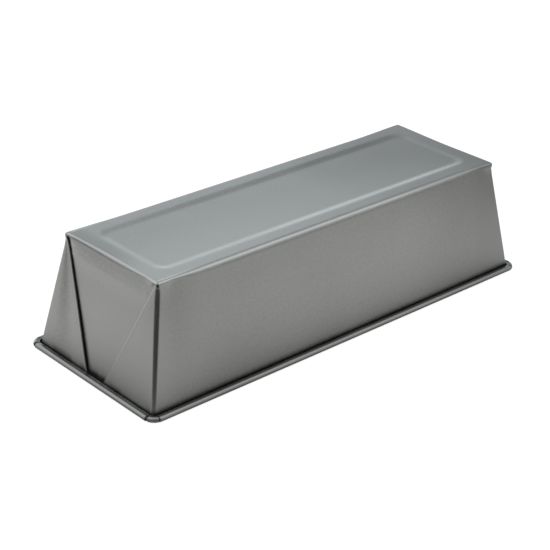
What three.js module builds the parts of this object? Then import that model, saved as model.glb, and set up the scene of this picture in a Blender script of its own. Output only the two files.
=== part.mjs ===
// A loaf pan folded from one sheet of coated steel, standing upside down on its rim.
// Sizes are in millimetres. X runs along the pan, Y across it and Z up from the ground.

import * as THREE from 'three';

// Outer size, over the rolled rim
const RIM_LENGTH = 300;
const RIM_WIDTH = 114;
const HEIGHT = 73;
const WALL_LEAN = THREE.MathUtils.degToRad(9.2);

// Sheet and its bends
const SHEET = 0.35;
const FOLD_GAP = 0.45;           // air between two folded layers
const BASE_BEND_RADIUS = 3;      // outside, between the base and the walls
const BASE_CORNER_CORE = 0.5;    // corner radius of the base's flat part

// Gussets folded flat against the two ends
const PINCH_DROP = 4;            // from the base bend down to where the fold has closed
const PINCH_CORNER_RADIUS = 1.8; // of the corner bend where the fold has closed
const FOOT_CORNER_RADIUS = 3.1;  // of the corner bend at the foot
const FLAP_SHORTFALL = 3.6;      // of the fold edge at the foot, from where a sharp fold would lie
const FLAP_MIDDLE_GAP = 4;       // least space between the two flaps of an end
const FOOT_Z = 2.4;              // from the ground to the foot of the flaps

// Rim
const WIRE_DIAMETER = 2.4;
const HEM_CLEARANCE = 0.05;      // air between the wire and the sheet rolled round it
const HEM_FLARE = 2.1;           // how much further than that the walls stand from the wire
const FLANGE_RADIUS = 1;         // where the foot of a wall turns out along the ground
const HEM_EDGE_GAP = 1.6;        // between the hem's edge and the wall
const HEM_DIP = THREE.MathUtils.degToRad(12); // of the ledge, towards the wall
const HEM_CUT = 0.2;             // from the corner's bend to the cut end of a hem
const WIRE_END_GAP = 0.6;        // between the butted ends of the wire

// Stamped step round the middle of the base
const STEP_INSET = 12.6;         // from the edge of the base to the middle of the step
const STEP_WIDTH = 6.5;
const STEP_DEPTH = 0.7;
const STEP_CORNER_RADIUS = 7;

// Fineness of the curves
const BEND_STEPS = 10;
const FOLD_STEPS = 8;
const BASE_STEPS = 4;
const PINCH_STEPS = 5;
const FLANGE_STEPS = 4;
const HEM_STEPS = 12;
const STEP_STEPS = 6;
const WIRE_SIDES = 14;

// Sizes that follow from the ones above
const LEAN_COS = Math.cos(WALL_LEAN);
const LEAN_SIN = Math.sin(WALL_LEAN);
const PITCH = (SHEET + FOLD_GAP) / LEAN_COS;      // level distance from one layer to the next
const HEM_RADIUS = WIRE_DIAMETER / 2 + HEM_CLEARANCE + SHEET / 2;
const BEAD_RADIUS = HEM_RADIUS + SHEET / 2;
const BEAD_X = RIM_LENGTH / 2 - BEAD_RADIUS;
const BEAD_Y = RIM_WIDTH / 2 - BEAD_RADIUS;
const BEAD_OUT = BEAD_X - wallReach(BEAD_X, FOOT_Z); // from the foot of a wall to the wire
const WIRE_BEND = FOOT_CORNER_RADIUS + BEAD_OUT;
const HEM_NOTCH = BEAD_RADIUS + WIRE_BEND + HEM_CUT; // from the rim's corner to the cut end of a hem
const HEM_END_X = RIM_LENGTH / 2 - HEM_NOTCH;
const HEM_END_Y = RIM_WIDTH / 2 - HEM_NOTCH;
const BEND_Z = HEIGHT - BASE_BEND_RADIUS;
const BEND_MID_RADIUS = BASE_BEND_RADIUS - SHEET / 2;
const LAYER_START = PITCH / 4;                    // straight part of a fold that has just closed
const TAB_START = 2;                              // places of the corner tab in a corner's row
const TAB_STOP = BEND_STEPS;

// A walk over a plan. Each mark keeps the place and the direction to the left of the way.
class Walk {
  constructor(x, y, heading) {
    this.x = x;
    this.y = y;
    this.heading = heading;
    this.marks = [];
    this.mark();
  }

  mark() {
    const left = { x: -Math.sin(this.heading), y: Math.cos(this.heading) };
    this.marks.push({ x: this.x, y: this.y, left });
  }

  curve(length, angle, steps) {
    const half = angle / steps / 2;
    const chord = half === 0 ? length / steps : length / steps * Math.sin(half) / half;
    for (let i = 0; i < steps; i += 1) {
      this.heading += half;
      this.x += chord * Math.cos(this.heading);
      this.y += chord * Math.sin(this.heading);
      this.heading += half;
      this.mark();
    }
  }
}

// A skin of triangles that grows row by row.
class Skin {
  constructor() {
    this.points = [];
    this.triangles = [];
  }

  row(points) {
    return points.map((point) => this.points.push(point) - 1);
  }

  triangle(a, b, c, front) {
    this.triangles.push(...(front ? [a, b, c] : [c, b, a]));
  }

  quad(a, b, c, d, front) {
    this.triangle(a, b, c, front);
    this.triangle(a, c, d, front);
  }

  band(upper, lower, front, closed) {
    const count = closed ? upper.length : upper.length - 1;
    for (let i = 0; i < count; i += 1) {
      const next = (i + 1) % upper.length;
      this.quad(upper[i], lower[i], lower[next], upper[next], front);
    }
  }

  // Open rows that hang from a first one. What comes back is their outline: down one side, along the
  // last row and up the other side.
  apron(first, rest, front) {
    const rows = [first, ...rest];
    for (let i = 1; i < rows.length; i += 1) {
      this.band(rows[i - 1], rows[i], front, false);
    }
    const last = rows.pop();
    return [...rows.map((row) => row[0]), ...last, ...rows.map((row) => row[row.length - 1]).reverse()];
  }

  // A level face inside a closed row, less what a second row closes in
  level(outside, inside, front) {
    const flat = (row) => row.map((i) => new THREE.Vector2(this.points[i].x, this.points[i].y));
    const rows = [...outside, ...inside];
    const holes = inside.length ? [flat(inside)] : [];
    for (const corners of THREE.ShapeUtils.triangulateShape(flat(outside), holes)) {
      const [a, b, c] = corners.map((i) => rows[i]);
      const turn = THREE.ShapeUtils.area(flat([a, b, c])) > 0;
      this.triangle(a, b, c, turn === front);
    }
  }

  mesh(name, material) {
    const geometry = new THREE.BufferGeometry();
    geometry.setFromPoints(this.points);
    geometry.setIndex(this.triangles);
    geometry.computeVertexNormals();
    const mesh = new THREE.Mesh(geometry, material);
    mesh.name = name;
    return mesh;
  }
}

// Where the middle of a wall's sheet stands at a height, from the rim's centre line on that side
function wallReach(bead, z) {
  return bead - (HEM_RADIUS + HEM_FLARE) / LEAN_COS + (BEAD_RADIUS - z) * LEAN_SIN / LEAN_COS;
}

// How far a flap's fold edge lies from the corner at the foot. The fold halves the spare wedge of
// sheet at the corner, less the shortfall, and stops short of the other flap in a narrow pan.
function flapReach() {
  const inward = Math.tan(Math.PI / 4 - 2 * Math.atan(LEAN_SIN));
  const sharp = (HEIGHT - SHEET / 2 - FOOT_Z) / LEAN_COS * (inward + LEAN_SIN);
  const free = wallReach(BEAD_Y, FOOT_Z) - FLAP_MIDDLE_GAP / 2;
  return Math.min(sharp - FLAP_SHORTFALL, free);
}

// The middle of the sheet round one corner, from the side wall to the end wall. The walls would
// meet at 0, 0 and both run off to positive values. A fold angle of half a turn lays two layers of
// the flap over the end, which then stands two layers further in. None leaves a plain corner.
function cornerPath(sideStart, endStop, bendRadius, layer, fold) {
  const hairpin = Math.max(fold, Math.PI / 2) * PITCH / 2;
  const walk = new Walk(0, 0, Math.PI);
  walk.curve(bendRadius * Math.PI / 2, -Math.PI / 2, BEND_STEPS);
  walk.curve(layer, 0, 1);
  walk.curve(hairpin, -fold, FOLD_STEPS);
  walk.curve(layer, 0, 1);
  walk.curve(hairpin, fold, FOLD_STEPS);
  const onSide = { x: sideStart, y: 0, left: { x: 0, y: -1 } };
  const onEnd = { x: walk.x + bendRadius, y: endStop, left: { x: -1, y: 0 } };
  const marks = walk.marks.map((mark) => ({ ...mark, x: mark.x + bendRadius }));
  return [onSide, ...marks, onEnd];
}

// A plain rounded corner
function arcPath(radius) {
  const walk = new Walk(radius, 0, Math.PI);
  walk.curve(radius * Math.PI / 2, -Math.PI / 2, STEP_STEPS);
  return walk.marks;
}

// One level row round the pan, seen from above against the clock. The path of one corner is
// mirrored to all four, and every point moves out along its own direction.
function ring(path, halfX, halfY, out, z) {
  const corner = (signX, signY) => path.map(({ x, y, left }) => new THREE.Vector3(
    signX * (halfX - x - out * left.x),
    signY * (halfY - y - out * left.y),
    z,
  ));
  return [
    ...corner(1, -1),
    ...corner(1, 1).reverse(),
    ...corner(-1, 1),
    ...corner(-1, -1).reverse(),
  ];
}

// Rows of the bend between the base and the walls, on one face of the sheet
function bendRows(face) {
  const path = cornerPath(HEM_NOTCH, HEM_NOTCH, BASE_CORNER_CORE, LAYER_START, 0);
  const inset = BEND_MID_RADIUS / LEAN_COS;
  const halfX = wallReach(BEAD_X, BEND_Z) - inset;
  const halfY = wallReach(BEAD_Y, BEND_Z) - inset;
  const radius = BEND_MID_RADIUS + face;
  const rows = [];
  for (let i = 0; i <= BASE_STEPS; i += 1) {
    const tilt = i / BASE_STEPS * (Math.PI / 2 - WALL_LEAN);
    rows.push(ring(path, halfX, halfY, radius * Math.sin(tilt), BEND_Z + radius * Math.cos(tilt)));
  }
  return rows;
}

function wallRow(face, z, path) {
  return ring(path, wallReach(BEAD_X, z), wallReach(BEAD_Y, z), face / LEAN_COS, z);
}

// The middle of the sheet round one corner at the foot
function footPath() {
  const sideStart = wallReach(BEAD_X, FOOT_Z) - HEM_END_X;
  const endStop = wallReach(BEAD_Y, FOOT_Z) - HEM_END_Y;
  const layer = flapReach() - FOOT_CORNER_RADIUS - PITCH / 2;
  return cornerPath(sideStart, endStop, FOOT_CORNER_RADIUS, layer, Math.PI);
}

// Rows of the walls, on one face of the sheet. The folds open out of the plain corners below the
// base, close within the pinch, and then run straight to the foot.
function wallRows(face) {
  const plainRadius = BASE_CORNER_CORE + BEND_MID_RADIUS * LEAN_COS;
  const rows = [];
  for (let i = 1; i <= PINCH_STEPS; i += 1) {
    const share = i / PINCH_STEPS;
    const radius = THREE.MathUtils.lerp(plainRadius, PINCH_CORNER_RADIUS, share);
    const path = cornerPath(HEM_NOTCH, HEM_NOTCH, radius, LAYER_START, share * Math.PI);
    rows.push(wallRow(face, BEND_Z - share * PINCH_DROP, path));
  }
  rows.push(wallRow(face, FOOT_Z, footPath()));
  return rows;
}

// The section of a rolled hem, on one face of the sheet, from a foot that stands a number of layers
// behind the wall. The sheet turns out along the ground, goes round the wire and comes back as a
// dipping ledge that stops short of the wall.
function hemSection(face, layers) {
  const turn = Math.PI / 2 - WALL_LEAN;
  const top = 2 * BEAD_RADIUS - SHEET / 2;
  const walk = new Walk(-layers * PITCH, FOOT_Z, -turn);
  walk.curve((FOOT_Z - SHEET / 2 - FLANGE_RADIUS * (1 - LEAN_SIN)) / LEAN_COS, 0, 1);
  walk.curve(FLANGE_RADIUS * turn, turn, FLANGE_STEPS);
  walk.curve(BEAD_OUT - walk.x, 0, 1);
  walk.curve(HEM_RADIUS * Math.PI, Math.PI, HEM_STEPS);
  walk.curve(HEM_RADIUS * HEM_DIP, HEM_DIP, 1);
  walk.curve(BEAD_X - wallReach(BEAD_X, top) - SHEET - HEM_EDGE_GAP, 0, 1);
  return walk.marks.slice(1).map((mark) => ({
    out: mark.x + face * mark.left.x,
    z: mark.y + face * mark.left.y,
  }));
}

// Rows of the hem on one straight part of the rim. The ends stand behind two layers of flap.
function hemRows(face, outX, outY) {
  const foot = outX === 0 ? wallReach(BEAD_Y, FOOT_Z) : wallReach(BEAD_X, FOOT_Z);
  const end = outX === 0 ? HEM_END_X : HEM_END_Y;
  return hemSection(face, outX === 0 ? 0 : 2).map(({ out, z }) => {
    const reach = foot + out;
    const place = (along) => new THREE.Vector3(reach * outX - along * outY, reach * outY + along * outX, z);
    return [place(-end), place(end)];
  });
}

// Rows of the four short tabs that are rolled round the wire's bends, all corners in one row
function tabRows(face) {
  const path = footPath().slice(TAB_START, TAB_STOP + 1);
  return hemSection(face, 0).map(({ out, z }) => (
    ring(path, wallReach(BEAD_X, FOOT_Z), wallReach(BEAD_Y, FOOT_Z), out, z)
  ));
}

// Rows of the stamped step, from the rest ring inwards, on one face of the sheet
function stepRows(face) {
  const path = arcPath(STEP_CORNER_RADIUS);
  const edge = SHEET / 2 / LEAN_COS - STEP_INSET;
  const halfX = wallReach(BEAD_X, HEIGHT) + edge;
  const halfY = wallReach(BEAD_Y, HEIGHT) + edge;
  const rows = [];
  for (let i = 0; i <= STEP_STEPS; i += 1) {
    const share = i / STEP_STEPS;
    const sunk = STEP_DEPTH * (1 - Math.cos(share * Math.PI)) / 2;
    const slope = Math.atan(STEP_DEPTH / STEP_WIDTH * Math.PI / 2 * Math.sin(share * Math.PI));
    const out = (0.5 - share) * STEP_WIDTH - face * Math.sin(slope);
    rows.push(ring(path, halfX, halfY, out, HEIGHT - SHEET / 2 - sunk + face * Math.cos(slope)));
  }
  return rows;
}

// One face of the folded sheet. What comes back is the outline of the sheet, in order.
function layFace(skin, face) {
  const front = face > 0;
  const rows = [...bendRows(face), ...wallRows(face)].map((points) => skin.row(points));
  const steps = stepRows(face).map((points) => skin.row(points));
  for (let i = 1; i < rows.length; i += 1) {
    skin.band(rows[i - 1], rows[i], front, true);
  }
  for (let i = 1; i < steps.length; i += 1) {
    skin.band(steps[i], steps[i - 1], front, true);
  }
  skin.level(rows[0], steps[0], front);
  skin.level(steps[steps.length - 1], [], front);

  const foot = rows[rows.length - 1];
  const tabs = tabRows(face).map((points) => skin.row(points));
  const perCorner = foot.length / 4;
  const perTab = tabs[0].length / 4;
  const outline = [];
  [[1, 0], [0, 1], [-1, 0], [0, -1]].forEach(([outX, outY], side) => {
    const corner = foot.slice(side * perCorner, (side + 1) * perCorner);
    const first = side % 2 === 0 ? TAB_START : perCorner - 1 - TAB_STOP;
    const tab = tabs.map((row) => row.slice(side * perTab, (side + 1) * perTab));
    const hem = hemRows(face, outX, outY).map((points) => skin.row(points));
    const start = corner[perCorner - 1];
    const stop = foot[(side + 1) * perCorner % foot.length];
    outline.push(...corner.slice(0, first));
    outline.push(...skin.apron(corner.slice(first, first + perTab), tab, front));
    outline.push(...corner.slice(first + perTab));
    outline.push(...skin.apron([start, stop], hem, front).slice(1, -1));
  });
  return outline;
}

// The folded sheet: two faces, joined along the cut edge
function panShell(material) {
  const skin = new Skin();
  const outside = layFace(skin, SHEET / 2);
  const inside = layFace(skin, -SHEET / 2);
  skin.band(outside, inside, true, true);
  return skin.mesh('pan_shell', material);
}

// The wire inside the hems and tabs, with its ends butted in the back hem
function rimWire(material) {
  const halfX = BEAD_X - WIRE_BEND;
  const halfY = BEAD_Y - WIRE_BEND;
  const walk = new Walk(WIRE_END_GAP / 2, BEAD_Y, 0);
  for (const length of [halfX - WIRE_END_GAP / 2, 2 * halfY, 2 * halfX, 2 * halfY]) {
    walk.curve(length, 0, 1);
    walk.curve(WIRE_BEND * Math.PI / 2, -Math.PI / 2, BEND_STEPS);
  }
  walk.curve(halfX - WIRE_END_GAP / 2, 0, 1);

  const skin = new Skin();
  const rows = walk.marks.map(({ x, y, left }) => {
    const points = [];
    for (let i = 0; i < WIRE_SIDES; i += 1) {
      const angle = i / WIRE_SIDES * 2 * Math.PI;
      const out = WIRE_DIAMETER / 2 * Math.cos(angle);
      const up = WIRE_DIAMETER / 2 * Math.sin(angle);
      points.push(new THREE.Vector3(x + out * left.x, y + out * left.y, BEAD_RADIUS + up));
    }
    return skin.row(points);
  });
  for (let i = 1; i < rows.length; i += 1) {
    skin.band(rows[i - 1], rows[i], false, true);
  }
  const last = rows[rows.length - 1];
  for (let i = 2; i < WIRE_SIDES; i += 1) {
    skin.triangle(rows[0][0], rows[0][i - 1], rows[0][i], false);
    skin.triangle(last[0], last[i - 1], last[i], true);
  }
  return skin.mesh('rim_wire', material);
}

const coatedSteel = new THREE.MeshStandardMaterial({ color: 0x8b8e8c, roughness: 0.42, metalness: 0.85 });
const wireSteel = new THREE.MeshStandardMaterial({ color: 0x777875, roughness: 0.5, metalness: 0.9 });

const loafPan = new THREE.Group();
loafPan.name = 'loaf_pan';
loafPan.add(panShell(coatedSteel), rimWire(wireSteel));

export default loafPan;
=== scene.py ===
import math

import bmesh
import bpy
import numpy as np
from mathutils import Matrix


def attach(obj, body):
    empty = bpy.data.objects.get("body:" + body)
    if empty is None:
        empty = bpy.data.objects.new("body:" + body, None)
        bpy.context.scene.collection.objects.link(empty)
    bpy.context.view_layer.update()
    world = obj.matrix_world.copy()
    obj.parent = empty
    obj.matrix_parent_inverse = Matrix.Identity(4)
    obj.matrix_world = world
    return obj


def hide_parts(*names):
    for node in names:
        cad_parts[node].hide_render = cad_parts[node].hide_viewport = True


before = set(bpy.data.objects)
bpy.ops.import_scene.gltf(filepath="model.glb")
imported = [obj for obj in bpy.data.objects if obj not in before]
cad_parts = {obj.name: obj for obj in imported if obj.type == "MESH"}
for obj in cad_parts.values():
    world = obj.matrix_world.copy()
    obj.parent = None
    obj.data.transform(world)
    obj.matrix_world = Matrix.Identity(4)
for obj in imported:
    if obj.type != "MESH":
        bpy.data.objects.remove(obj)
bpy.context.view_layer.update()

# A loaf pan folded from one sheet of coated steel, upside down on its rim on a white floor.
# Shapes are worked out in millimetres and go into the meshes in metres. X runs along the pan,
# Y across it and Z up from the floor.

METRE = 1000.0               # in millimetres

# Sizes of the pan, over the rolled rim
RIM_LENGTH = 300.0
RIM_WIDTH = 114.0
HEIGHT = 73.0
LEAN = math.radians(9.2)

# Sheet, bends and folds
SHEET = 0.35
FOLD_GAP = 0.45
SIDE_BEND_RADIUS = 3.4       # outside, along the middle of the base's long edges
END_BEND_RADIUS = 2.6        # the same, along its short edges
CORNER_BEND_RADIUS = 1.4     # the same bend at the base's corners
PINCH_DROP = 2.4
PINCH_CORNER_RADIUS = 2.3
WALL_CORNER_RADIUS = 2.2     # of the corner bend just above the foot
FOOT_CORNER_RADIUS = 2.4
FLAP_SHORTFALL = 3.6         # of the fold edge at the foot, from where a sharp fold would lie
FLAP_MIDDLE_GAP = 4.0
FOOT_Z = 2.4
CORNER_EAR = 0.45            # how far a base corner stands out where its fold starts
RECESS_START = 4.0           # below the bend, where the middle of an end starts to sink behind the flaps
RECESS_DROP = 16.0           # below the bend, where it has sunk
FOLD_START = 0.4             # straight part of a fold that has just closed
FOLD_TIGHTNESS = 0.7         # share of the folded layers' spacing at the top
FOLD_DEEPENING = 1.0         # how much nearer to the corner the end's sheet starts at the foot
FOLD_LIP = 0.7               # last part of a flap's outer layer, on finer steps

# Rim
WIRE_DIAMETER = 2.4
HEM_CLEARANCE = 0.05
HEM_FLARE = 2.1
FLANGE_RADIUS = 1.0
HEM_EDGE_GAP = 1.6
HEM_DIP = math.radians(12.0)    # of the ledge, towards the wall
WIRE_END_GAP = 0.6

# Stamped step round the middle of the base
STEP_INSET = 12.6
STEP_WIDTH = 6.5
STEP_DEPTH = 0.7
STEP_CORNER_RADIUS = 7.0

# How far the sheet strays from its flat shape. The near end is the one that the camera sees, and the near
# corner is the one closest to the camera.
WALL_WAVE = 0.10
WALL_WAVES = (               # millimetres per radian along and up, phase
    (31.0, 27.0, 0.8), (-47.0, 19.0, 2.1), (17.0, -33.0, 0.0))
FLAP_BOW = 0.20
BASE_SAG = 0.06
BASE_WAVES = (               # millimetres per radian and phase, along and across
    (29.0, 0.6), (19.0, -0.4))
NEAR_SPREAD = 0.3            # how far the foot of the near end stands out of its plane
FAR_SPREAD = 1.3             # the same at the far end
END_LEAN = 0.9               # how far the top of the near end leans in
CORNER_LEAN = 1.2            # how far the top of the side leans in at the near corner

# Where soft rises start and where they are done, in millimetres unless a line says otherwise
END_ZONE = (60.0, 132.0)           # from the pan's middle towards an end: spread and lean
LEAN_ZONE = (-45.0, -5.0)          # across the near end from its left: its lean
CORNER_ZONE_X = (105.0, 138.0)     # along the side to the near corner: the side's lean
CORNER_ZONE_Y = (15.0, 45.0)       # across the pan to the same corner
BEND_GROWTH = (2.0, 40.0)          # from a corner: growth of the base's bend
FOOT_GROWTH = (0.85, 1.0)          # as shares of the way down: growth of the corner's bend at the foot
EAR_TILT = (0.4, 1.3)              # as angles round the base's bend: start of an ear
EAR_TAIL = (0.5, 4.0)              # below the bend: end of an ear
EAR_WIDTH = (2.0, 10.0)            # from a corner: end of an ear
RECESS_EDGE = (0.3, 4.5)           # from a fold edge: sinking of the end's middle
SIDE_CALM = (4.0, 40.0)            # from a corner: waves of a side
END_CALM = (12.0, 30.0)            # from a corner: waves of an end

# Painted light on the coat, and wear at its cut edges: 1 is a full painted highlight, -1 full painted shade
BEND_HIGHLIGHT_TILT = (0.15, 1.40)       # as angles round the base's bend: the part with a painted highlight
END_BEND_HIGHLIGHT = 0.6                 # how much brighter that painted highlight is on the ends
FAR_HIGHLIGHT_FADE = 0.7                # share of it that is lost towards the far end
FAR_BEND_ZONE = (20.0, 140.0)      # along the pan, for that loss
TIP_SHADE = 1.6                    # painted shade at the tip of a corner, where the fold starts
TIP_TILT = (0.1, 0.6)              # as angles round the base's bend: start of the tip
TIP_BELOW = (0.0, 1.0)             # below the bend: end of the tip
NOTCH_HIGHLIGHT = 0.8                    # painted highlight beside the tip, a little lower
NOTCH_BELOW = (1.4, 3.4)           # below the bend: reach of that notch
FOLD_HIGHLIGHT = 1.1                     # painted highlight on a fold edge
FOLD_SHADE = 0.45                  # painted shade just before a fold edge
FOLD_FADE = 0.5                    # share of both that is lost at the foot
FOLD_EDGE_COLUMNS = 4.5            # of the hairpin, that count as the fold edge
TIP_SIDE_COLUMNS = 10              # of the corner's bend from the side on, for the notch
FLAP_RISE_COLUMNS = 4              # over which a flap's painted shade sets in and ends
NEAR_LEFT_X = (0.0, 100.0)         # from the pan's middle to the near end: start of what is on its left flap
NEAR_LEFT_Y = (0.0, 3.0)           # from the pan's middle to the left: the same
FLAP_SHADE = 0.34                   # painted shade over the left flap of the near end
FLAP_MIDDLE_SHADE = 0.46            # more in the middle of that flap
FLAP_FADE = 0.6                    # share of both that is lost at the foot
BESIDE_FLAP_SHADE = 1.2            # painted shade on the end along that flap
BESIDE_FLAP = (2.0, 4.0)           # from the fold edge: end of that shade
UNDER_BEND_SHADE = 0.50             # painted shade on the ends below the base's bend
UNDER_BEND = (-1.0, 11.0)          # below the bend: reach of that shade
UNDER_BEND_ZONE = (5.0, 16.0)      # from a corner: start of that shade
SLOT_SHADE_TOP = 6.0               # above the floor: start of the painted shade in the slot behind the hem
SLOT_SHADE_DROP = 4.0              # from there to full shade
SLOT_END_LOSS = 0.8                # share of it that the middle of an end lacks
LEDGE_SHADE_STEPS = 6              # steps of the roll over which painted shade sets in before the ledge
BASE_EDGE_HIGHLIGHT = 0.85               # painted highlight on the base along its long edges, towards the near end
BASE_EDGE = (-1.8, 2.6)            # from those edges: reach of that highlight
CUT_EDGE_RUB = 0.5

# Fineness of the grids
BEND_ROWS = 8
PINCH_ROWS = 10
WALL_ROWS = 14
CORNER_STEPS = 16
HEM_CUTS = (2, 3, 12)        # steps of the corner's bend where the side's hem ends, and where the tab runs
LAYER_STEPS = 6
LIP_STEPS = 2
FOLD_STEPS = 9
FINE_SIDE = 26.0             # from the corner, where a side's finer columns start
FINE_END = 15.0              # the same on an end
COARSE_COLUMNS = 28
FINE_COLUMNS = 24
END_FINE_COLUMNS = 14
END_COARSE_COLUMNS = 14
FLANGE_STEPS = 5
HEM_STEPS = 18
LEDGE_STEPS = 3
WIRE_SIDES = 28
WIRE_STEPS = 20
WIRE_BEND_STEPS = 14
SHARP_ANGLE = math.radians(40.0)
MERGE_DISTANCE = 1e-6        # metres, between points that are one
SLIVER_LENGTH = 1e-7         # metres, of edges that are dropped
FLOOR_REACH = 6000.0

# Map of the wire's drawn lines
WIRE_ON_END = 0.1445         # metres along X, beyond which the wire runs along an end
WIRE_SLANT = 0.37            # share of the distance from the pan's middle in the place round the wire

# Sizes that follow
LEAN_COS = math.cos(LEAN)
LEAN_SIN = math.sin(LEAN)
PITCH = (SHEET + FOLD_GAP) / LEAN_COS
HEM_RADIUS = WIRE_DIAMETER / 2 + HEM_CLEARANCE + SHEET / 2
BEAD_RADIUS = HEM_RADIUS + SHEET / 2
BEAD_X = RIM_LENGTH / 2 - BEAD_RADIUS
BEAD_Y = RIM_WIDTH / 2 - BEAD_RADIUS
BEAD_OUT = (HEM_RADIUS + HEM_FLARE + (FOOT_Z - BEAD_RADIUS) * LEAN_SIN) / LEAN_COS    # from the wall's foot
WIRE_BEND = FOOT_CORNER_RADIUS + BEAD_OUT
WIRE_STRAIGHT_X = BEAD_X - WIRE_BEND    # half the straight run of the wire along a side
WIRE_STRAIGHT_Y = BEAD_Y - WIRE_BEND    # the same along an end


# Camera, at the photograph's view

camera = bpy.data.objects.new("camera", bpy.data.cameras.new("camera"))
bpy.context.scene.collection.objects.link(camera)
bpy.context.scene.camera = camera
camera.data.sensor_width = 36.0
camera.data.lens = 103.336
camera.location = (-0.591957, -0.610744, 0.452466)
camera.rotation_euler = [math.radians(a) for a in (63.0043, -2.1199, -42.5029)]
bpy.context.scene.view_settings.view_transform = "Standard"


# Finishes

class Strand:
    """A value on its way through a finish. Operators between strands and numbers add Math nodes."""

    def __init__(self, finish, socket):
        self.finish = finish
        self.socket = socket

    def math(self, operation, *others):
        settings = {"operation": operation}
        return self.finish.node("ShaderNodeMath", settings, dict(enumerate((self, *others))))

    def __add__(self, other):
        return self.math("ADD", other)

    __radd__ = __add__

    def __sub__(self, other):
        return self.math("SUBTRACT", other)

    def __rsub__(self, other):
        return (self * -1.0).math("ADD", other)

    def __mul__(self, other):
        return self.math("MULTIPLY", other)

    __rmul__ = __mul__


class Finish:
    """A procedural material or world, put together from nodes."""

    def __init__(self, name, library=bpy.data.materials):
        self.made = library.new(name)
        self.made.use_nodes = True
        self.tree = self.made.node_tree
        self.tree.nodes.clear()

    def node(self, kind, settings, sockets, output=0):
        """Adds one node: its settings first, then the value of or the link to each named socket."""
        made = self.tree.nodes.new(kind)
        for key, value in settings.items():
            setattr(made, key, value)
        for key, value in sockets.items():
            if isinstance(value, Strand):
                self.tree.links.new(value.socket, made.inputs[key])
            else:
                made.inputs[key].default_value = value
        return None if output is None else Strand(self, made.outputs[output])

    def place(self):
        return self.node("ShaderNodeTexCoord", {}, {}, "Object")

    def parts(self, vector, axes):
        """The named parts of a vector, one strand each."""
        return [self.node("ShaderNodeSeparateXYZ", {}, {"Vector": vector}, axis) for axis in axes]

    def noise(self, place, scale, detail):
        """Smooth noise round 0, from about -1 to 1."""
        sockets = {"Vector": place, "Scale": scale, "Detail": detail}
        return self.node("ShaderNodeTexNoise", {}, sockets) * 4.0 - 2.0

    def blend(self, share, first, second):
        settings = {"data_type": "RGBA"}
        return self.node("ShaderNodeMix", settings, {0: share, 6: first, 7: second}, 2)

    def step(self, value, low, high):
        """0 below low, 1 above high and a soft rise between."""
        sockets = {"Value": value, "From Min": low, "From Max": high}
        return self.node("ShaderNodeMapRange", {"interpolation_type": "SMOOTHSTEP"}, sockets)

    def surface(self, shader, output="ShaderNodeOutputMaterial"):
        self.node(output, {}, {"Surface": shader}, None)
        return self.made


def coated_sheet_finish():
    """Satin metallic coating: slow clouds, a fine mottle and tiny flakes, with painted highlights and painted
    shade from the mesh's values, and wear at cut edges. Painted light makes it lighter on the walls at the
    near end and along the front of the base, and painted shade duller towards the far end and at the left
    of the base's near edge."""
    coat = Finish("satin grey coating")
    place = coat.place()
    along, across, up = coat.parts(place, "XYZ")
    cloud = coat.noise(place, 16.0, 3.0)
    mottle = coat.noise(place, 900.0, 2.0)
    flake = coat.noise(place, 3600.0, 1.0)
    painted_light_and_wear = coat.node("ShaderNodeAttribute", {"attribute_name": "painted_light_and_wear"}, {}, "Fac")
    painted_edge_light_and_wear = coat.step(painted_light_and_wear + 0.12 * mottle + 0.10 * cloud, 0.15, 1.05)
    painted_shade = coat.step(painted_light_and_wear + 0.08 * mottle + 0.06 * cloud, -0.10, -1.0)

    # Painted light and shade by place: painted light on the near end's walls, painted shade on the far part,
    # the far wall, the far part of the base and the left of the base's near edge; all go into the tone
    top = coat.step(up, 0.0700, 0.0722)
    near_wall = coat.step(along, -0.122, -0.140) * (1.0 - top)
    far_wall = coat.step(along, 0.112, 0.132) * (1.0 - top)
    far_part = coat.step(along + 0.01 * cloud, 0.05, 0.12)
    far_base = top * coat.step(along, 0.01, 0.05) * coat.step(along, 0.12, 0.08)
    near_left_base = top * coat.step(along, -0.120, -0.130) * coat.step(across, -0.030, 0.002)
    front_base = top * coat.step(across, 0.016, -0.028) * coat.step(along, 0.135, 0.085)
    light = 0.8 * near_wall - far_part - 0.9 * far_wall - 0.8 * far_base - 1.5 * near_left_base

    tone = coat.step(0.50 * cloud + 0.55 * mottle + 0.45 * flake + light, -1.6, 1.6)
    grey = coat.blend(tone, (0.238, 0.239, 0.227, 1.0), (0.343, 0.345, 0.327, 1.0))
    # Painted sheen, lighter along the front of the base
    grey = coat.blend(0.45 * front_base, grey, (0.40, 0.402, 0.381, 1.0))
    # Painted highlights, and wear at cut edges, where the mesh's value is above 0
    grey = coat.blend(0.70 * painted_edge_light_and_wear, grey, (0.50, 0.50, 0.485, 1.0))
    # Painted shade where the mesh's value is below 0
    colour = coat.blend(0.60 * painted_shade, grey, (0.08, 0.08, 0.078, 1.0))
    roughness = 0.36 + 0.035 * cloud + 0.03 * mottle - 0.06 * painted_edge_light_and_wear
    height = 0.7 * mottle + 0.3 * flake
    bump = coat.node("ShaderNodeBump", {}, {"Strength": 0.06, "Distance": 0.0002, "Height": height})
    return coat.surface(coat.node("ShaderNodeBsdfPrincipled", {}, {
        "Base Color": colour, "Roughness": roughness, "Metallic": 1.0, "Normal": bump}))


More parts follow.
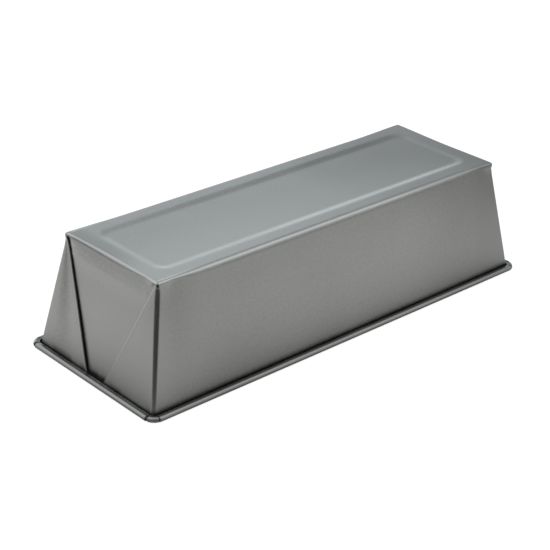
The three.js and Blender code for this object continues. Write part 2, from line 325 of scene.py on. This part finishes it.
def drawn_wire_finish():
    """Bare drawn steel: fine lines along the wire and dull patches."""
    wire = Finish("drawn wire")
    along = wire.node("ShaderNodeUVMap", {"uv_map": "along"}, {})
    scale = (40.0, 2600.0, 1.0)
    stretched = wire.node("ShaderNodeVectorMath", {"operation": "MULTIPLY"}, {0: along, 1: scale})
    line = wire.noise(stretched, 1.0, 3.0)
    patch = wire.noise(wire.place(), 90.0, 3.0)
    tone = wire.step(0.6 * line + 0.6 * patch, -1.4, 1.4)
    colour = wire.blend(tone, (0.06, 0.06, 0.058, 1.0), (0.12, 0.12, 0.116, 1.0))
    roughness = 0.40 + 0.06 * line + 0.06 * patch
    bump = wire.node("ShaderNodeBump", {}, {"Strength": 0.15, "Distance": 0.0001, "Height": line})
    return wire.surface(wire.node("ShaderNodeBsdfPrincipled", {}, {
        "Base Color": colour, "Roughness": roughness, "Metallic": 1.0, "Normal": bump}))


def floor_finish():
    """White paper. The camera sees it near white, with the pan's shadow. Mirror-like rays see it white too,
    but dark under the pan, and with painted shade in a wedge on the camera's side, far out to the right
    and left and close to the pan, there less so on the right and at the back of the near end."""
    paper = Finish("white paper")
    glossy = paper.node("ShaderNodeLightPath", {}, {}, "Is Glossy Ray")
    seen = glossy + paper.node("ShaderNodeLightPath", {}, {}, "Is Camera Ray")
    seen = seen + paper.node("ShaderNodeLightPath", {}, {}, "Is Transmission Ray")
    x, y = paper.parts(paper.place(), "XY")
    past_x = (x.math("ABSOLUTE") - WIRE_STRAIGHT_X / METRE).math("MAXIMUM", 0.0)
    past_y = (y.math("ABSOLUTE") - WIRE_STRAIGHT_Y / METRE).math("MAXIMUM", 0.0)
    past_rim = (past_x * past_x + past_y * past_y).math("SQRT") - WIRE_BEND / METRE
    open_floor = paper.step(past_rim, -0.001, 0.0)

    right = paper.step(x, 0.10, 0.18)
    near_end_back = paper.step(x, -0.13, -0.17) * paper.step(y, 0.0, 0.07)
    far_right = 0.42 * paper.step(x, 0.24, 0.34) + 0.35 * paper.step(x, 0.34, 0.42)
    far_left = 0.60 * paper.step(x, -0.29, -0.39)
    shade = (0.50 - 0.25 * right - 0.24 * near_end_back) * paper.step(past_rim, 0.12, -0.02)
    shade = shade + 0.34 * paper.step(past_rim, 0.025, 0.0) + far_right + far_left
    beside = (0.75 * x - 0.66 * y + 0.08).math("ABSOLUTE")
    wedge = paper.step(-0.66 * x - 0.75 * y - 0.36 * beside, 0.13, 0.17)

    lit = paper.node("ShaderNodeBsdfDiffuse", {}, {"Color": (0.30, 0.30, 0.30, 1.0)})
    glow = paper.node("ShaderNodeEmission", {}, {"Color": (1.0, 1.0, 1.0, 1.0), "Strength": 0.87})
    plain = paper.node("ShaderNodeBsdfDiffuse", {}, {"Color": (0.8, 0.8, 0.8, 1.0)})
    dark = paper.node("ShaderNodeBsdfDiffuse", {}, {"Color": (0.12, 0.12, 0.12, 1.0)})
    white = paper.node("ShaderNodeAddShader", {}, {0: lit, 1: glow})
    whole = paper.node("ShaderNodeMixShader", {}, {0: seen * open_floor, 1: plain, 2: white})
    dim = glossy * shade.math("MAXIMUM", wedge)
    return paper.surface(paper.node("ShaderNodeMixShader", {}, {0: dim, 1: whole, 2: dark}))


def light_tent():
    """A soft white tent round the pan, by direction: bright on the left, less so low down there, dim on the
    right but for one patch of light, bright low at the back, where it is a little cooler, brighter overhead,
    and open and dark on the camera's side, most of all low down. The camera sees it plain white."""
    tent = Finish("light tent", bpy.data.worlds)
    way = tent.node("ShaderNodeTexCoord", {}, {}, "Generated")
    x, y, z = tent.parts(way, "XYZ")
    to_camera = -0.695 * x - 0.719 * y
    to_left = -0.669 * x + 0.743 * y
    ahead = 0.36 * x + 0.93 * y
    to_right = 0.93 * x - 0.36 * y
    opening = tent.step(to_camera, 0.15, 0.50) * (1.0 - 0.60 * tent.step(z, 0.30, 0.48))
    left = tent.step(to_left, -0.03, 0.09)
    beyond = tent.step(to_left, 0.10, 0.20) * tent.step(z, 0.65, 0.45)
    right = tent.step(ahead, 0.30, 0.10) * tent.step(to_right, 0.2, 0.5)
    right = right * (1.0 - 0.4 * tent.step(ahead, 0.0, -0.35) * tent.step(z, 0.10, 0.40))
    back = tent.step(0.66 * x + 0.75 * y, 0.3, 0.7)
    low = tent.step(z, 0.32, 0.12) * back
    high = tent.step(z, 0.50, 0.75) * (1.0 - left)
    skirt = tent.step(z, 0.34, 0.16) * tent.step(-0.76 * x + 0.65 * y, 0.5, 0.9)
    level = 0.40 + 0.71 * left - 0.18 * beyond + 0.54 * right + 0.90 * low + 0.40 * high - 0.30 * skirt
    level = level * (1.0 - 0.92 * opening)
    seen = tent.node("ShaderNodeLightPath", {}, {}, "Is Camera Ray")
    bright = seen.math("MAXIMUM", level)
    white = tent.blend(back, (1.94, 2.0, 2.04, 1.0), (1.90, 2.03, 2.15, 1.0))
    grey = tent.blend(bright * 0.5, (0.0, 0.0, 0.0, 1.0), white)
    light = tent.node("ShaderNodeBackground", {}, {"Color": grey, "Strength": 1.0})
    return tent.surface(light, "ShaderNodeOutputWorld")


# Meshes from grids

def make_piece(name, patches, finish):
    """Joins grids of points into one mesh and merges the points they share. A patch has points in rows by
    columns by x, y, z, a flag that turns its faces over, and the painted light and wear of the coating at
    each point. A face looks along its rows' direction crossed with its columns' direction."""
    places, faces, painted_light_and_wear, start = [], [], [], 0
    for points, turned, wear in patches:
        rows, columns = points.shape[:2]
        index = start + np.arange(rows * columns).reshape(rows, columns)
        corners = [index[:-1, :-1], index[1:, :-1], index[1:, 1:], index[:-1, 1:]]
        quads = np.stack(corners[::-1] if turned else corners, axis=-1)
        places.append(points.reshape(-1, 3) / METRE)
        faces.append(quads.reshape(-1, 4))
        painted_light_and_wear.append(np.broadcast_to(wear, (rows, columns)).reshape(-1))
        start += rows * columns
    mesh = bpy.data.meshes.new(name)
    mesh.from_pydata(np.concatenate(places), [], np.concatenate(faces))
    mesh.attributes.new("painted_light_and_wear", "FLOAT", "POINT").data.foreach_set("value", np.concatenate(painted_light_and_wear))
    made = bmesh.new()
    made.from_mesh(mesh)
    bmesh.ops.remove_doubles(made, verts=made.verts, dist=MERGE_DISTANCE)
    bmesh.ops.dissolve_degenerate(made, edges=made.edges, dist=SLIVER_LENGTH)
    made.to_mesh(mesh)
    made.free()
    mesh.shade_smooth()
    mesh.set_sharp_from_angle(angle=SHARP_ANGLE)
    mesh.materials.append(finish)
    piece = bpy.data.objects.new(name, mesh)
    bpy.context.scene.collection.objects.link(piece)
    return piece


def run(start, stop, steps):
    """Even steps from start towards stop, row by row, without the stop itself."""
    return start[:, None] + (stop - start)[:, None] * np.arange(steps) / steps


def walk(heading, *stretches):
    """A way over a level plan, one for each row. A stretch is a length, a turn and a count of steps, and each
    step goes along the chord of its arc. Gives the places and the directions to the left of the way."""
    sizes = np.broadcast_arrays(*[np.atleast_1d(np.asarray(v, float)) for s in stretches for v in s[:2]])
    counts = [s[2] for s in stretches]
    length = np.concatenate([np.repeat(v[:, None] / n, n, 1) for v, n in zip(sizes[0::2], counts)], 1)
    turn = np.concatenate([np.repeat(v[:, None] / n, n, 1) for v, n in zip(sizes[1::2], counts)], 1)
    zero = np.zeros((length.shape[0], 1))
    heading = heading + np.concatenate([zero, np.cumsum(turn, 1)], 1)
    middle = (heading[:, :-1] + heading[:, 1:]) / 2
    chord = length * np.sinc(turn / 2 / np.pi)
    x = np.concatenate([zero, np.cumsum(chord * np.cos(middle), 1)], 1)
    y = np.concatenate([zero, np.cumsum(chord * np.sin(middle), 1)], 1)
    return x, y, -np.sin(heading), np.cos(heading)


def wall_reach(bead, z):
    """Middle of a wall's sheet at a height: the wall stands off the wire at the rim and leans inwards."""
    return bead - (HEM_RADIUS + HEM_FLARE) / LEAN_COS + (BEAD_RADIUS - z) * LEAN_SIN / LEAN_COS


def flap_reach():
    """From the corner to a flap's fold edge at the foot: the fold halves the spare wedge of the sheet."""
    inward = math.tan(math.pi / 4 - 2 * math.atan(LEAN_SIN))
    sharp = (HEIGHT - SHEET / 2 - FOOT_Z) / LEAN_COS * (inward + LEAN_SIN)
    return min(sharp - FLAP_SHORTFALL, wall_reach(BEAD_Y, FOOT_Z) - FLAP_MIDDLE_GAP / 2)


def rise(value, low, high):
    """0 below low, 1 above high and a soft rise between."""
    share = np.clip((value - low) / (high - low), 0.0, 1.0)
    return share * share * (3 - 2 * share)


def arch(value, low, high):
    """0 at both limits and outside them, 1 half way, like one arch of a sine squared."""
    share = np.clip((value - low) / (high - low), 0.0, 1.0)
    return np.sin(np.pi * share) ** 2


def spread(x):
    """How far the foot of the sheet is pulled along X, most at the two ends."""
    return FAR_SPREAD * rise(x, *END_ZONE) - NEAR_SPREAD * rise(-x, *END_ZONE)


def lean_in(x, y):
    """How far the top of the sheet is pulled in along X and Y: the near end along X, fading towards its left,
    and the side along Y at the near corner."""
    return (END_LEAN * rise(-x, *END_ZONE) * rise(-y, *LEAN_ZONE),
            CORNER_LEAN * rise(-x, *CORNER_ZONE_X) * rise(-y, *CORNER_ZONE_Y))


class FoldedSheet:
    """The middle of the sheet from the base's edge down to the foot, as arrays of rows by columns. It is
    worked out for one quarter of the pan, from the middle of a side round the corner to the middle of an end,
    and mirrored into a ring. The base's bend is roundest along the sides, less round along the ends and sharp
    at the corners, which stand out as small ears."""

    def __init__(self):
        tilt = np.linspace(0.0, math.pi / 2 - LEAN, BEND_ROWS + 1)
        share = np.arange(1, PINCH_ROWS + 1) / PINCH_ROWS
        fall = np.arange(1, WALL_ROWS + 1) / WALL_ROWS
        corner_z = HEIGHT - CORNER_BEND_RADIUS
        drop = np.concatenate([share * PINCH_DROP, PINCH_DROP + (corner_z - FOOT_Z - PINCH_DROP) * fall])
        bend, pinch = 0 * tilt, 0 * share
        self.tilt = np.concatenate([tilt, 0 * drop])[:, None]
        self.is_wall = np.concatenate([bend, 1 + 0 * drop])[:, None]
        self.drop = np.concatenate([bend, drop / (corner_z - FOOT_Z)])[:, None]
        self.down = np.concatenate([bend, pinch, fall])[:, None]
        self.share = np.concatenate([bend, share, 1 + 0 * fall])[:, None]
        tail = 1 - rise(self.drop * (corner_z - FOOT_Z), *EAR_TAIL)
        self.ear = CORNER_EAR * np.where(self.is_wall > 0, tail, rise(self.tilt, *EAR_TILT))

        plain = (CORNER_BEND_RADIUS - SHEET / 2) * LEAN_COS
        last_layer = flap_reach() - FOOT_CORNER_RADIUS - PITCH / 2
        radius = plain + (PINCH_CORNER_RADIUS - plain) * self.share
        radius = radius + (WALL_CORNER_RADIUS - PINCH_CORNER_RADIUS) * self.down
        radius = radius + (FOOT_CORNER_RADIUS - WALL_CORNER_RADIUS) * rise(self.down, *FOOT_GROWTH)
        radius = radius * self.is_wall
        layer = FOLD_START + (last_layer - FOLD_START) * self.down
        fold = math.pi * np.sin(self.share * math.pi / 2)
        self.pitch = PITCH * (FOLD_TIGHTNESS + (1 - FOLD_TIGHTNESS) * self.down)
        self.lay_quarter(radius[:, 0], layer[:, 0], fold[:, 0], FOLD_DEEPENING * self.down[:, 0])

    def section(self, bend_radius):
        """Half length, half width, reach past them and height of the sheet's middle, for a base's bend of
        this radius: a part of a circle from level to the walls' lean, and a straight fall below it."""
        middle = bend_radius - SHEET / 2
        bend_z = HEIGHT - bend_radius
        z = bend_z + middle * np.cos(self.tilt)
        z = np.where(self.is_wall > 0, bend_z + (FOOT_Z - bend_z) * self.drop, z)
        inset = (1 - self.is_wall) * middle / LEAN_COS
        at = np.where(self.is_wall > 0, z, bend_z)
        out = middle * np.sin(self.tilt) * (1 - self.is_wall)
        return wall_reach(BEAD_X, at) - inset, wall_reach(BEAD_Y, at) - inset, out, z

    def lay_quarter(self, radius, layer, fold, deeper):
        """Side, corner and end of one quarter. The corner is a bend, a layer out along the end, a hairpin, a
        layer back and a second hairpin onto the end itself, which stands two layers further in than the
        corner."""
        hairpin = np.maximum(fold, math.pi / 2) * self.pitch[:, 0] / 2
        lip = np.minimum(layer / 2, FOLD_LIP)
        x, y, left_x, left_y = walk(
            math.pi,
            (radius * math.pi / 2, -math.pi / 2, CORNER_STEPS),
            (layer - lip, 0.0, LAYER_STEPS),
            (lip, 0.0, LIP_STEPS),
            (hairpin, -fold, FOLD_STEPS),
            (layer + deeper, 0.0, LAYER_STEPS),
            (hairpin, fold, FOLD_STEPS),
        )
        x = x + radius[:, None]
        corner_x, corner_y = self.section(CORNER_BEND_RADIUS)[:2]
        fine_x, fine_y = 0 * radius + FINE_SIDE, 0 * radius + FINE_END
        side = np.concatenate([run(corner_x[:, 0], fine_x, COARSE_COLUMNS),
                               run(fine_x, x[:, 0], FINE_COLUMNS)], 1)
        end = np.concatenate([run(y[:, -1], fine_y, END_FINE_COLUMNS)[:, 1:],
                              run(fine_y, corner_y[:, 0], END_COARSE_COLUMNS), corner_y], 1)
        self.corner_start = side.shape[1]
        self.corner_stop = self.corner_start + x.shape[1] - 1
        self.columns = self.corner_stop + 1 + end.shape[1]

        from_corner = np.concatenate([side[0], 0 * x[0], end[0]])
        grown = np.where(np.arange(self.columns) < self.corner_start, SIDE_BEND_RADIUS, END_BEND_RADIUS)
        grown = grown - CORNER_BEND_RADIUS
        bend_radius = (CORNER_BEND_RADIUS + grown * rise(from_corner, *BEND_GROWTH))[None, :]
        half_x, half_y, self.out, self.z = self.section(bend_radius)
        self.below = HEIGHT - bend_radius - self.z
        past_fold = end - (radius + layer)[:, None]
        recess = 2 * self.pitch * rise(self.below, RECESS_START, RECESS_DROP)[:, self.corner_stop + 1:]
        recess = x[:, -1:] + (recess * self.is_wall - x[:, -1:]) * rise(past_fold, *RECESS_EDGE)

        end_x = half_x[:, self.corner_stop + 1:] - recess
        self.plan_x = np.concatenate([corner_x - side, corner_x - x, end_x], 1)
        self.plan_y = np.concatenate([half_y[:, : self.corner_start], corner_y - y, corner_y - end], 1)
        near = 1 - rise(from_corner, *EAR_WIDTH)
        self.plan_x, self.plan_y = self.plan_x + self.ear * near, self.plan_y + self.ear * near
        self.out_x = np.concatenate([0 * side, -left_x, 1 + 0 * end], 1)
        self.out_y = np.concatenate([1 + 0 * side, -left_y, 0 * end], 1)
        self.out_share = np.sin(self.tilt) + self.is_wall / LEAN_COS
        self.z_share = np.cos(self.tilt) * (1 - self.is_wall)
        self.middle = np.concatenate([rise(side, *SIDE_CALM), 0 * x, rise(end, *END_CALM)], 1)
        self.mark_places(side, x, end, past_fold)

    def mark_places(self, side, x, end, past_fold):
        """Shares from 0 to 1 that mark out places on a quarter, by column or by distance from the corner: the
        flap and its outer layer, fold edge and tip, and the end."""
        column = np.arange(self.columns)
        layer_start = self.corner_start + CORNER_STEPS
        lip_start = layer_start + LAYER_STEPS
        self.outer_layer = arch(column, layer_start, lip_start)[None, :]
        self.fold_edge = arch(column, lip_start - 0.5, lip_start + LIP_STEPS + FOLD_EDGE_COLUMNS)[None, :]
        self.beside_fold = (column == lip_start)[None, :]
        self.is_end = (column > lip_start + LIP_STEPS)[None, :]
        self.beside_flap = np.concatenate([0 * side, 0 * x, 1 - rise(past_fold, *BESIDE_FLAP)], 1) * self.down
        self.end_middle = np.concatenate([0 * side, 0 * x, rise(end, *UNDER_BEND_ZONE)], 1)
        self.tip = arch(column, self.corner_start + 1, layer_start - 1)[None, :]
        self.tip_side = arch(column, self.corner_start, self.corner_start + TIP_SIDE_COLUMNS)[None, :]
        flap_start = rise(column, layer_start - FLAP_RISE_COLUMNS, layer_start)
        self.flap = (flap_start * rise(lip_start - column, 0, FLAP_RISE_COLUMNS))[None, :]

    def ring(self, quarter, mirror_x=1, mirror_y=1):
        """Joins a quarter's array and its three mirror images against the clock, and closes the ring."""
        images = [quarter * mirror_y, quarter[:, ::-1], quarter * mirror_x,
                  (quarter * mirror_x * mirror_y)[:, ::-1]]
        joined = np.concatenate([image[:, :-1] for image in images], 1)
        return np.concatenate([joined, joined[:, :1]], 1)

    def lines(self):
        """Places and outward directions of the sheet's middle, in rings, with the foot spread and the top
        leaned in."""
        x, y = self.ring(self.plan_x, mirror_x=-1), self.ring(self.plan_y, mirror_y=-1)
        in_x, in_y = lean_in(x, y)
        return (x + self.down * spread(x) + (1 - self.down) * in_x, y + (1 - self.down) * in_y,
                self.ring(self.out_x, mirror_x=-1), self.ring(self.out_y, mirror_y=-1))

    def face(self, offset):
        """One face of the sheet: the middle, moved along its own direction by the bend's radius, by the
        sheet's strays from flat and by half the sheet."""
        x, y, out_x, out_y = self.lines()
        out = self.ring(self.out + offset * self.out_share) + self.stray(x)
        z = self.ring(self.z + offset * self.z_share)
        return np.stack([x + out_x * out, y + out_y * out, z], -1)

    def stray(self, x):
        """How far the walls swell: slow waves that die out at the bends and the rim, and a bow in the outer
        layer of each flap."""
        z = self.ring(self.z)
        wave = sum(np.cos(x / reach_x + z / reach_z + phase) for reach_x, reach_z, phase in WALL_WAVES)
        bow = FLAP_BOW * self.ring(0 * self.z + self.outer_layer)
        return np.sin(np.pi * self.down) * (WALL_WAVE * wave * self.ring(self.middle) + bow)

    def painted_light_and_wear(self):
        """Painted light on the coat: a painted highlight on the base's bend, fading towards the far end, on
        the fold edges and in a notch below each corner's tip. Below 0 it is painted shade: at the tips, just
        before the fold edges, in the slot behind the hem, on and beside the left flap of the near end and
        below the bend on the ends."""
        # Painted highlights on the bend, in the notch and on the fold edges, with painted shade at the tips
        # and just before the fold edges
        bend = arch(self.tilt, *BEND_HIGHLIGHT_TILT) * (1 + END_BEND_HIGHLIGHT * self.is_end)
        tip_wall, tip_bend = 1 - rise(self.below, *TIP_BELOW), rise(self.tilt, *TIP_TILT)
        tip = TIP_SHADE * self.tip * np.where(self.is_wall > 0, tip_wall, tip_bend)
        notch = NOTCH_HIGHLIGHT * self.tip_side * arch(self.below, *NOTCH_BELOW) * self.is_wall
        fold = (FOLD_HIGHLIGHT * self.fold_edge - FOLD_SHADE * self.beside_fold) * self.share
        fold = fold * (1 - FOLD_FADE * self.down)
        x, y = self.lines()[:2]
        fade = 1 - FAR_HIGHLIGHT_FADE * rise(x, *FAR_BEND_ZONE)
        painted_edge_light_and_wear = self.ring(bend - tip + notch) * fade + self.ring(fold)

        # Painted shade on the near end's left flap and beside it, below the bend on the ends and in the slot
        # behind the hem
        flap = FLAP_SHADE * self.flap + FLAP_MIDDLE_SHADE * self.outer_layer
        flap = flap * self.share * (1 - FLAP_FADE * self.down ** 2) + BESIDE_FLAP_SHADE * self.beside_flap
        near_left = rise(y, *NEAR_LEFT_Y) * rise(-x, *NEAR_LEFT_X)
        under_bend = UNDER_BEND_SHADE * self.end_middle * self.is_wall * arch(self.below, *UNDER_BEND)
        slot = rise(SLOT_SHADE_TOP - self.z, 0.0, SLOT_SHADE_DROP) * (1 - SLOT_END_LOSS * self.is_end)
        return painted_edge_light_and_wear - self.ring(flap) * near_left - self.ring(under_bend) - self.ring(slot)

    def base(self, offset):
        """The base between its bends, on a grid that shares the bends' columns, and a painted highlight along
        its long edges towards the near end. Its height falls by a raised cosine across the stamped step, by
        the distance to a rectangle with round corners, and the middle sags in slow waves."""
        along = self.plan_x[0, : self.corner_start + 1]
        across = self.plan_y[0, self.corner_start + CORNER_STEPS:]
        wide = self.plan_y[0, : self.corner_start + 1] / across[0]
        long = self.plan_x[0, self.corner_start + CORNER_STEPS:] / along[-1]
        along, wide = np.concatenate([-along[::-1], along[1:]]), np.concatenate([wide[::-1], wide[1:]])
        across, long = np.concatenate([-across, across[-2::-1]]), np.concatenate([long, long[-2::-1]])
        x, y = along[:, None] * long[None, :], across[None, :] * wide[:, None]
        # Painted highlight along the base's long edges, towards the near end
        painted_edge_light_and_wear = BASE_EDGE_HIGHLIGHT * arch(across[-1] - np.abs(y), *BASE_EDGE) * rise(-x, END_ZONE[0], along[-1])
        in_x, in_y = lean_in(x, y)
        x, y = x + in_x, y + in_y
        edge = SHEET / 2 / LEAN_COS - STEP_INSET - STEP_CORNER_RADIUS
        over_x = np.abs(x) - (wall_reach(BEAD_X, HEIGHT) + edge)
        over_y = np.abs(y) - (wall_reach(BEAD_Y, HEIGHT) + edge)
        outside = np.hypot(np.maximum(over_x, 0.0), np.maximum(over_y, 0.0))
        distance = outside + np.minimum(np.maximum(over_x, over_y), 0.0) - STEP_CORNER_RADIUS
        share = np.clip(0.5 - distance / STEP_WIDTH, 0.0, 1.0)
        sunk = STEP_DEPTH * (1 - np.cos(np.pi * share)) / 2
        calm = (1 - (x / along[-1]) ** 4) * (1 - (y / across[-1]) ** 4)
        (reach_x, phase_x), (reach_y, phase_y) = BASE_WAVES
        wave = 1 + np.cos(x / reach_x + phase_x) * np.cos(y / reach_y + phase_y)
        z = HEIGHT - SHEET / 2 - sunk - BASE_SAG * wave * share * calm
        x_i, x_j = np.gradient(x)
        y_i, y_j = np.gradient(y)
        z_i, z_j = np.gradient(z)
        area = x_i * y_j - x_j * y_i
        slope_x, slope_y = (z_i * y_j - z_j * y_i) / area, (z_j * x_i - z_i * x_j) / area
        moved = offset / np.sqrt(1 + slope_x ** 2 + slope_y ** 2)
        return np.stack([x - slope_x * moved, y - slope_y * moved, z + moved], -1), painted_edge_light_and_wear

    def hem(self, offset, first, last, recess):
        """One rolled hem on the ring's columns from first to last: the wall's foot turns out along the floor,
        goes round the wire and comes back as a ledge. Rows follow the roll and columns the rim."""
        columns = np.arange(first, last + 1) % (4 * (self.columns - 1))
        x, y, out_x, out_y = [line[-1, columns] for line in self.lines()]
        turn = math.pi / 2 - LEAN
        straight = (FOOT_Z - SHEET / 2 - FLANGE_RADIUS * (1 - LEAN_SIN)) / LEAN_COS
        flange = recess + BEAD_OUT - straight * LEAN_SIN - FLANGE_RADIUS * LEAN_COS - out_x * spread(x)
        ledge = BEAD_OUT - SHEET - HEM_EDGE_GAP
        out, z, left_out, left_z = [line.T for line in walk(
            -turn,
            (straight, 0.0, 1),
            (FLANGE_RADIUS * turn, turn, FLANGE_STEPS),
            (flange, 0.0, 2),
            (HEM_RADIUS * math.pi, math.pi, HEM_STEPS),
            (HEM_RADIUS * HEM_DIP, HEM_DIP, 2),
            (ledge, 0.0, LEDGE_STEPS),
        )]
        left_out[0], left_z[0] = 1 / LEAN_COS, 0.0
        out, z = out + offset * left_out, FOOT_Z + z + offset * left_z
        return np.stack([x + out_x * out, y + out_y * out, z], -1)


def folded_shell(finish):
    """The folded sheet: base, walls, flaps and hems on two faces, joined along the sheet's cut edge. A hem
    runs along each side and each end, and a short tab round each corner. Between them the foot is cut."""
    sheet = FoldedSheet()
    outer, inner = sheet.face(SHEET / 2), sheet.face(-SHEET / 2)
    # The outer face carries the painted light and shade
    patches = [(outer, False, sheet.painted_light_and_wear()), (inner, True, 0.0)]
    for offset, turned in ((SHEET / 2, False), (-SHEET / 2, True)):
        base, painted_edge_light_and_wear = sheet.base(offset)
        patches += [(base, turned, 0.0 if turned else painted_edge_light_and_wear)]
    side, tab, tab_stop = [sheet.corner_start + step for step in HEM_CUTS]
    end = sheet.corner_stop
    half = 2 * (sheet.columns - 1)
    cuts = [(side, tab), (tab_stop, end), (half - end, half - tab_stop), (half - tab, half - side)]
    hems = [(tab, tab_stop, 0.0), (end, half - end, 2 * PITCH),
            (half - tab_stop, half - tab, 0.0), (half - side, half + side, 0.0)]
    cuts += [(a + half, b + half) for a, b in cuts]
    hems += [(a + half, b + half, recess) for a, b, recess in hems]
    patches += [(np.stack([outer[-1, a:b + 1], inner[-1, a:b + 1]]), False, CUT_EDGE_RUB) for a, b in cuts]
    for first, last, recess in hems:
        over, under = sheet.hem(SHEET / 2, first, last, recess), sheet.hem(-SHEET / 2, first, last, recess)
        ledge_start = len(under) - LEDGE_STEPS
        # Painted shade on the roll where it runs into the ledge, and on the ledge
        ledge = -rise(np.arange(len(under))[:, None], ledge_start - LEDGE_SHADE_STEPS, ledge_start)
        # Full painted shade on the hem's inner face, which shows in the slot behind the hem
        patches += [(over, False, -1.0), (under, True, ledge)]
        patches += [(np.stack([over[-1], under[-1]]), False, CUT_EDGE_RUB)]
        # Full painted shade on both ends of each hem, where the foot is cut
        patches += [(np.stack([over[:, 0], under[:, 0]]), False, -1.0)]
        patches += [(np.stack([over[:, -1], under[:, -1]]), True, -1.0)]
    return make_piece("folded_sheet", patches, finish)


def rim_wire(finish):
    """The wire: a circle carried along the rim's centre line, bent round the four corners, with its ends
    butted in the back hem. The first parameter runs along the wire and the second round it."""
    corner = (WIRE_BEND * math.pi / 2, -math.pi / 2, WIRE_BEND_STEPS)
    half_back = (WIRE_STRAIGHT_X - WIRE_END_GAP / 2, 0.0, WIRE_STEPS)
    sides = [2 * WIRE_STRAIGHT_Y, 2 * WIRE_STRAIGHT_X, 2 * WIRE_STRAIGHT_Y]
    stretches = [half_back, corner]
    stretches += [s for length in sides for s in ((length, 0.0, WIRE_STEPS), corner)]
    stretches += [half_back]
    x, y, left_x, left_y = [v[0][:, None] for v in walk(0.0, *stretches)]
    x, y = x + WIRE_END_GAP / 2, y + BEAD_Y
    angle = np.linspace(0.0, 2 * math.pi, WIRE_SIDES + 1)[None, :]
    radius = np.ones_like(x) * WIRE_DIAMETER / 2
    radius = np.concatenate([[[0.0]], radius, [[0.0]]])
    x, y, left_x, left_y = [np.concatenate([v[:1], v, v[-1:]]) for v in (x, y, left_x, left_y)]
    out = radius * np.cos(angle)
    points = np.stack([x + out * left_x, y + out * left_y, BEAD_RADIUS + radius * np.sin(angle)], -1)
    return make_piece("wire_loop", [(points, True, 0.0)], finish)


def along_map(piece):
    """UV map of the wire in metres: first the place along it, which is x on the sides and y on the ends, then
    the place round it, from the height and the distance from the pan's middle."""
    mesh = piece.data
    place = np.empty(len(mesh.vertices) * 3)
    mesh.vertices.foreach_get("co", place)
    place = place.reshape(-1, 3)
    corner = np.empty(len(mesh.loops), int)
    mesh.loops.foreach_get("vertex_index", corner)
    x, y, z = place.T
    along = np.where(np.abs(x) > WIRE_ON_END, y, x)
    across = z + WIRE_SLANT * np.hypot(x, y)
    pairs = np.stack([along, across], -1)[corner]
    mesh.uv_layers.new(name="along").data.foreach_set("uv", pairs.reshape(-1))


# Stage

def paper_floor(finish):
    """A level sheet of paper, a grid in x and y."""
    side = np.linspace(-FLOOR_REACH, FLOOR_REACH, 3)
    x, y = np.meshgrid(side, side, indexing="ij")
    return make_piece("paper_floor", [(np.stack([x, y, 0 * x], -1), False, 0.0)], finish)


shell = folded_shell(coated_sheet_finish())
wire = rim_wire(drawn_wire_finish())
along_map(wire)
floor = paper_floor(floor_finish())

bpy.context.scene.world = light_tent()

for piece, node, slot in ((shell, "pan_shell", "coated_sheet"), (wire, "rim_wire", "wire")):
    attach(piece, "root")
    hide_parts(node)
